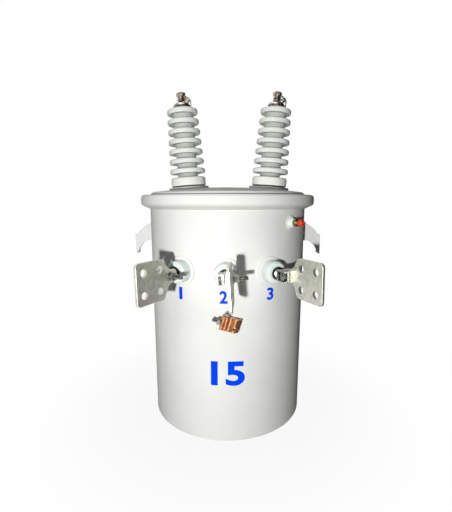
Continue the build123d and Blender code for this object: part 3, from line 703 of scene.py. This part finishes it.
print("numbers made")

# A white sweep all round: only reflections see the dark flags, on the right, on the floor there and behind
flags = {  # start, end and level
    "right": (0.0, 0.4, 0.05),
    "behind": (-0.1, -0.6, 0.3),
    "floor": (0.12, 0.45, 0.05),
}
larger = {"operation": "MAXIMUM"}
times = {"operation": "MULTIPLY"}


def flagged(tree, value, name):  # white before the flag's start, its own level past its end
    start, end, level = flags[name]
    fade = {"From Min": start, "From Max": end, "To Min": 1.0, "To Max": level}
    return addNode(tree, "ShaderNodeMapRange", fade, {"Value": value}).outputs[0]


# Floor: white to the camera but for the object's shadow, which fades out with distance
floorLook = {"tone": "#646462", "rough": 0.9, "size": 60.0}
whiteout = {  # metres from the middle, and the share of white there
    "From Min": 0.2,
    "From Max": 0.6,
    "To Min": 0.93,
    "To Max": 1.0,
    "interpolation_type": "SMOOTHSTEP",
}
floorSettings = {"Base Color": hexColour(floorLook["tone"]), "Roughness": floorLook["rough"]}
floorMaterial, tree, shader, place = newMaterial("pale_floor", floorSettings)
rays = addNode(tree, "ShaderNodeLightPath", {}, {}).outputs
shine = addNode(tree, "ShaderNodeMath", larger, {0: rays["Is Glossy Ray"], 1: rays["Is Transmission Ray"]})
away = addNode(tree, "ShaderNodeVectorMath", {"operation": "LENGTH"}, {0: place})
away = addNode(tree, "ShaderNodeMapRange", whiteout, {"Value": away.outputs["Value"]})
spot = addNode(tree, "ShaderNodeSeparateXYZ", {}, {0: place})
flag = flagged(tree, spot.outputs["X"], "floor")
shine = addNode(tree, "ShaderNodeMath", times, {0: shine.outputs[0], 1: flag})
seen = addNode(tree, "ShaderNodeMath", times, {0: rays["Is Camera Ray"], 1: away.outputs[0]})
seen = addNode(tree, "ShaderNodeMath", larger, {0: seen.outputs[0], 1: shine.outputs[0]})
glow = addNode(tree, "ShaderNodeEmission", {"Color": (1, 1, 1, 1), "Strength": 1.0}, {})
blend = {0: seen.outputs[0], 1: shader.outputs[0], 2: glow.outputs[0]}
surface = addNode(tree, "ShaderNodeMixShader", {}, blend)
tree.links.new(surface.outputs[0], tree.nodes["Material Output"].inputs["Surface"])
half = floorLook["size"] / 2
floorMesh = bpy.data.meshes.new("floor")
floorCorners = [(-half, -half, 0), (half, -half, 0), (half, half, 0), (-half, half, 0)]
floorMesh.from_pydata(floorCorners, [], [(0, 1, 2, 3)])
floor = bpy.data.objects.new("floor", floorMesh)
floor.data.materials.append(floorMaterial)
bpy.context.collection.objects.link(floor)

# World: white to the camera and in reflections, and a faint warm light that comes mostly from the left
ambientLook = {"tone": "#FFF8EE", "allRound": 0.01, "fromLeft": 0.07}
world = bpy.data.worlds.new("studio")
bpy.context.scene.world = world
world.use_nodes = True
tree = world.node_tree
rays = addNode(tree, "ShaderNodeLightPath", {}, {}).outputs
seen = addNode(tree, "ShaderNodeMath", larger, {0: rays["Is Camera Ray"], 1: rays["Is Glossy Ray"]})
seen = addNode(tree, "ShaderNodeMath", larger, {0: seen.outputs[0], 1: rays["Is Transmission Ray"]})
way = addNode(tree, "ShaderNodeTexCoord", {}, {}).outputs["Generated"]
way = addNode(tree, "ShaderNodeSeparateXYZ", {}, {0: way}).outputs
fromLeft = addNode(tree, "ShaderNodeMath", {**times, 1: -ambientLook["fromLeft"]}, {0: way["X"]})
fromLeft = addNode(tree, "ShaderNodeMath", {**larger, 1: 0.0}, {0: fromLeft.outputs[0]})
allRound = {"operation": "ADD", 1: ambientLook["allRound"]}
dim = addNode(tree, "ShaderNodeMath", allRound, {0: fromLeft.outputs[0]})
warm = {"Color": hexColour(ambientLook["tone"])}
ambient = addNode(tree, "ShaderNodeBackground", warm, {"Strength": dim.outputs[0]})
sides = {0: flagged(tree, way["X"], "right"), 1: flagged(tree, way["Y"], "behind")}
flag = addNode(tree, "ShaderNodeMath", times, sides)
white = addNode(tree, "ShaderNodeMath", larger, {0: flag.outputs[0], 1: rays["Is Camera Ray"]})
backdrop = addNode(tree, "ShaderNodeBackground", {"Color": (1, 1, 1, 1)}, {"Strength": white.outputs[0]})
blend = {0: seen.outputs[0], 1: ambient.outputs[0], 2: backdrop.outputs[0]}
surface = addNode(tree, "ShaderNodeMixShader", {}, blend)
tree.links.new(surface.outputs[0], tree.nodes["World Output"].inputs["Surface"])

lamps = {
    "key": {"at": (-0.195, -1.41, 0.445), "to": (0, 0, 0.42), "size": 0.06, "watts": 16.7},
    "fill": {"at": (-0.25, -0.9, 1.5), "to": (0, 0, 0.7), "size": 0.5, "watts": 2.0},
    "top": {"at": (-0.3, 0.1, 2.4), "to": (0, 0, 0.6), "size": 1.2, "watts": 6.0},
    "back": {"at": (0.0, 1.8, 0.35), "to": (0, 0, 0.35), "size": 0.4, "watts": 24.0, "mirrored": False},
}
for name, lamp in lamps.items():
    data = bpy.data.lights.new(name, "AREA")
    data.shape = "DISK"
    data.size = lamp["size"]
    data.energy = lamp["watts"]
    item = bpy.data.objects.new(name, data)
    item.location = lamp["at"]
    aim = Vector(lamp["to"]) - Vector(lamp["at"])
    item.rotation_euler = aim.to_track_quat("-Z", "Y").to_euler()
    item.visible_glossy = lamp.get("mirrored", True)  # the back lamp leaves no glints on the edges
    bpy.context.collection.objects.link(item)
print("floor, world and lamps set")

# Camera, fitted to the photo's outline of the tank
view = {
    "at": (0.01841, -0.95873, 0.56543),
    "pitchDeg": 10.54,
    "yawDeg": 1.1,
    "focalPx": 350.97,
    "centrePx": (227.5, 267.46),
    "imagePx": (452, 512),
    "sensorMm": 36.0,
}
widePx, tallPx = view["imagePx"]
cameraData = bpy.data.cameras.new("camera")
cameraData.sensor_fit = "VERTICAL"
cameraData.sensor_height = view["sensorMm"]
cameraData.lens = view["focalPx"] / tallPx * view["sensorMm"]
cameraData.shift_x = (widePx / 2 - view["centrePx"][0]) / tallPx
cameraData.shift_y = (view["centrePx"][1] - tallPx / 2) / tallPx
camera = bpy.data.objects.new("camera", cameraData)
camera.location = view["at"]
camera.rotation_euler = (math.radians(90 - view["pitchDeg"]), 0, math.radians(view["yawDeg"]))
bpy.context.collection.objects.link(camera)
bpy.context.scene.camera = camera
bpy.context.scene.view_settings.view_transform = "Standard"
print("camera set")
